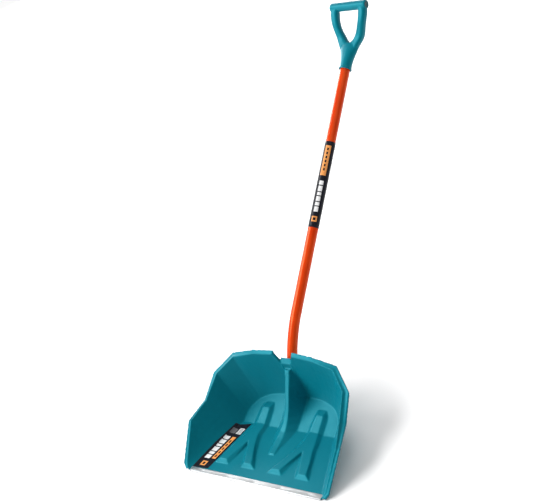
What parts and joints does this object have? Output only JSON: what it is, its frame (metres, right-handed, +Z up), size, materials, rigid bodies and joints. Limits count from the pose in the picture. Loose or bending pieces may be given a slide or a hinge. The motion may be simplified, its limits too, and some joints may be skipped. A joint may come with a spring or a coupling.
{
  "type": "snow scoop",
  "caption": "Household snow scoop: wide ribbed plastic pan with a metal front edge, bent painted shaft in a socket, and a D-shaped hand grip.",
  "frame": {"origin": "On the ground, under the middle of the object's box: the flat underside of the scoop's floor lies at z = 0.", "axes": "+Z up with the scoop standing on its floor, X across the scoop (the object is the same on both sides of x = 0 apart from the floor label), +Y from the metal edge back along the shaft to the grip."},
  "size_m": [0.518, 1.1546, 0.7892],
  "materials": {
    "teal_plastic": "satin moulded",
    "orange_shaft": "gloss powder coat",
    "bright_metal": "satin extruded",
    "zinc_screw": "zinc plated",
    "black_plastic": "matte",
    "label_film": "printed film"
  },
  "bodies": {
    "root": {"scoop": "teal_plastic", "wear_strip": "bright_metal", "strip_rivet_1": "bright_metal", "strip_rivet_2": "bright_metal", "strip_rivet_3": "bright_metal", "strip_rivet_4": "bright_metal", "strip_rivet_5": "bright_metal", "shaft_tube": "orange_shaft", "tube_end_plug": "black_plastic", "socket_screw_1": "zinc_screw", "socket_screw_2": "zinc_screw", "shaft_label": "label_film", "floor_label": "label_film", "hand_grip": "teal_plastic", "grip_screw": "zinc_screw", "bar_plug_left": "black_plastic", "bar_plug_right": "black_plastic"}
  },
  "joints": []
}
